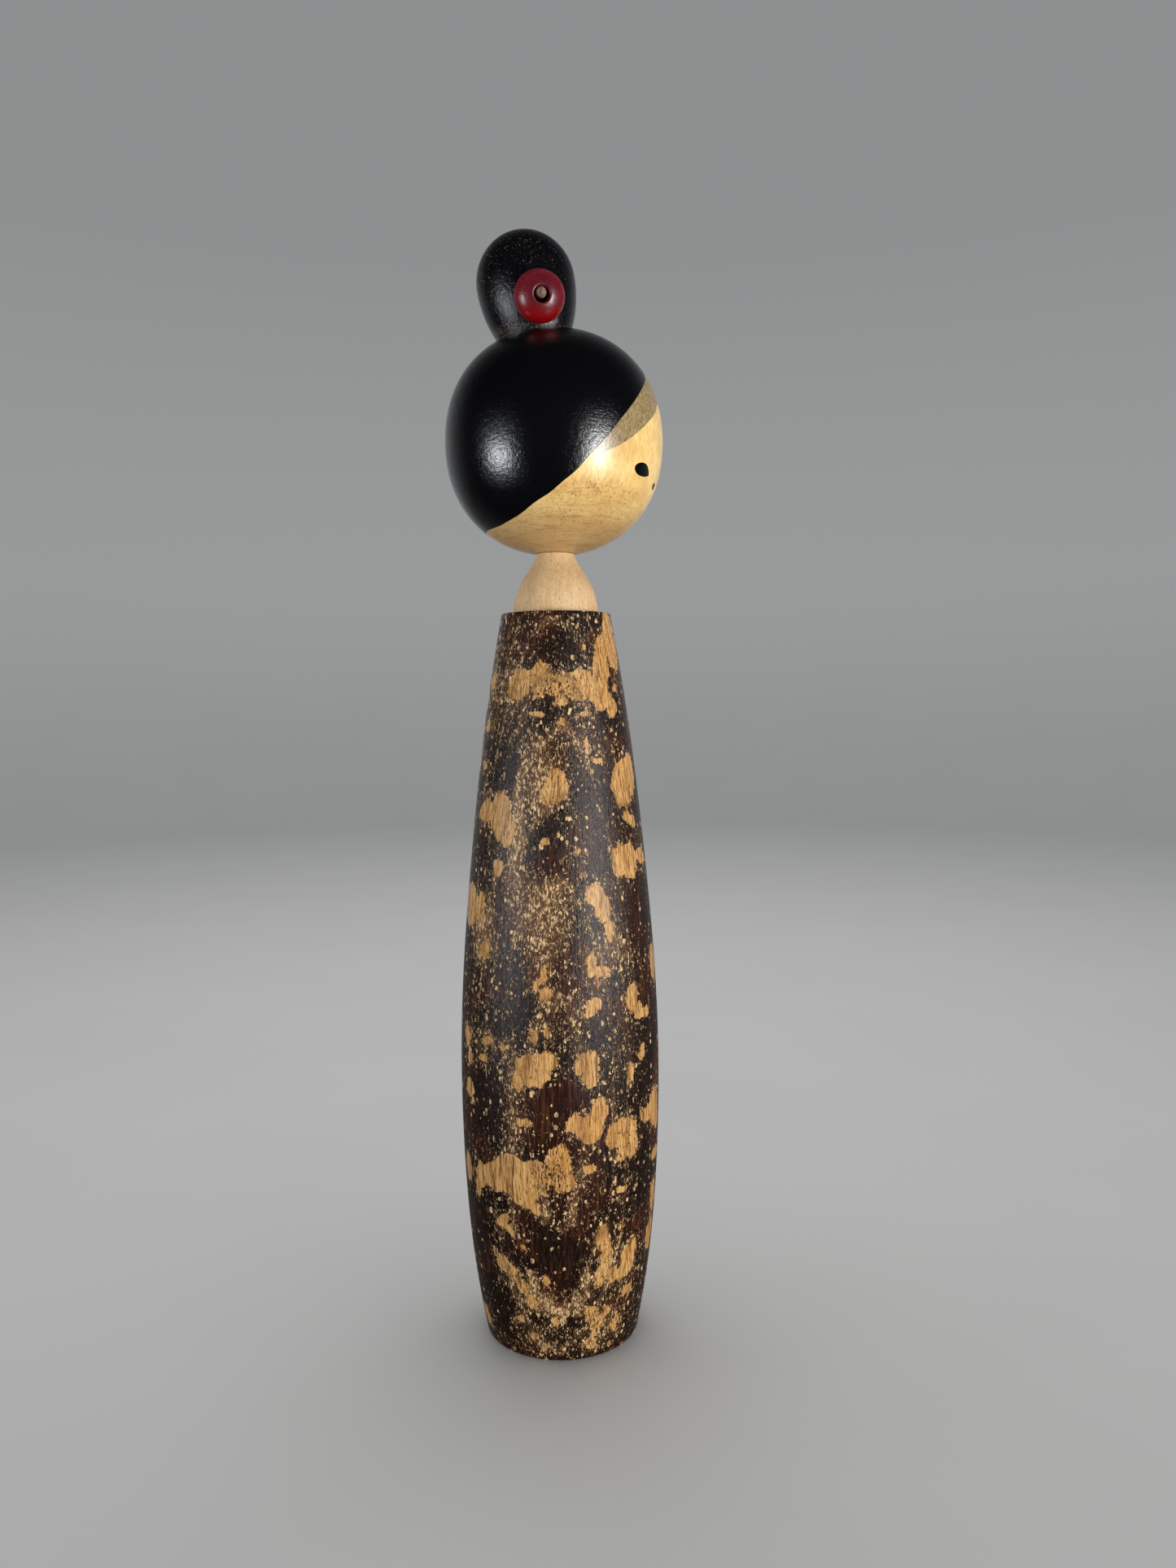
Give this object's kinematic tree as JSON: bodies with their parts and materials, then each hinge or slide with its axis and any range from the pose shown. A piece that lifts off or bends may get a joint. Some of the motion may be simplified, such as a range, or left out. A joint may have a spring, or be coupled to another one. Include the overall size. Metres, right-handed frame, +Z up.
{
  "type": "turned wooden kokeshi doll",
  "caption": "Turned-wood kokeshi doll: tall barrel body, bell neck, round head that turns on a dowel, leaning hair bun with a red bead ornament on a peg.",
  "frame": {"origin": "centre of the flat base on the body's turning axis", "axes": "+Z up along the turning axis; the face looks along -Y and the doll's right side is -X"},
  "size_m": [0.056, 0.056, 0.2879],
  "materials": {
    "stained_body": "dark stain worn through to tan wood in patches, satin varnish",
    "plain_neck": "bare sanded wood",
    "painted_head": "gloss black painted hair over clear-varnished pale wood, with painted eyes and mouth",
    "black_bun": "satin black paint with small worn specks",
    "red_bead": "satin crimson paint",
    "peg_wood": "bare end grain, stained pink-brown",
    "dowel_wood": "bare wood"
  },
  "bodies": {
    "stand": {"body": "stained_body", "neck": "plain_neck", "neck_dowel": "dowel_wood"},
    "head": {"head": "painted_head", "bun": "black_bun", "bun_dowel": "dowel_wood", "ornament_bead": "red_bead", "ornament_peg": "peg_wood"}
  },
  "joints": [
    {"name": "head_turn", "type": "hinge", "parent": "stand", "child": "head", "pos_m": [0, 0, 0.206], "axis": [0, 0, 1], "continuous": true}
  ]
}
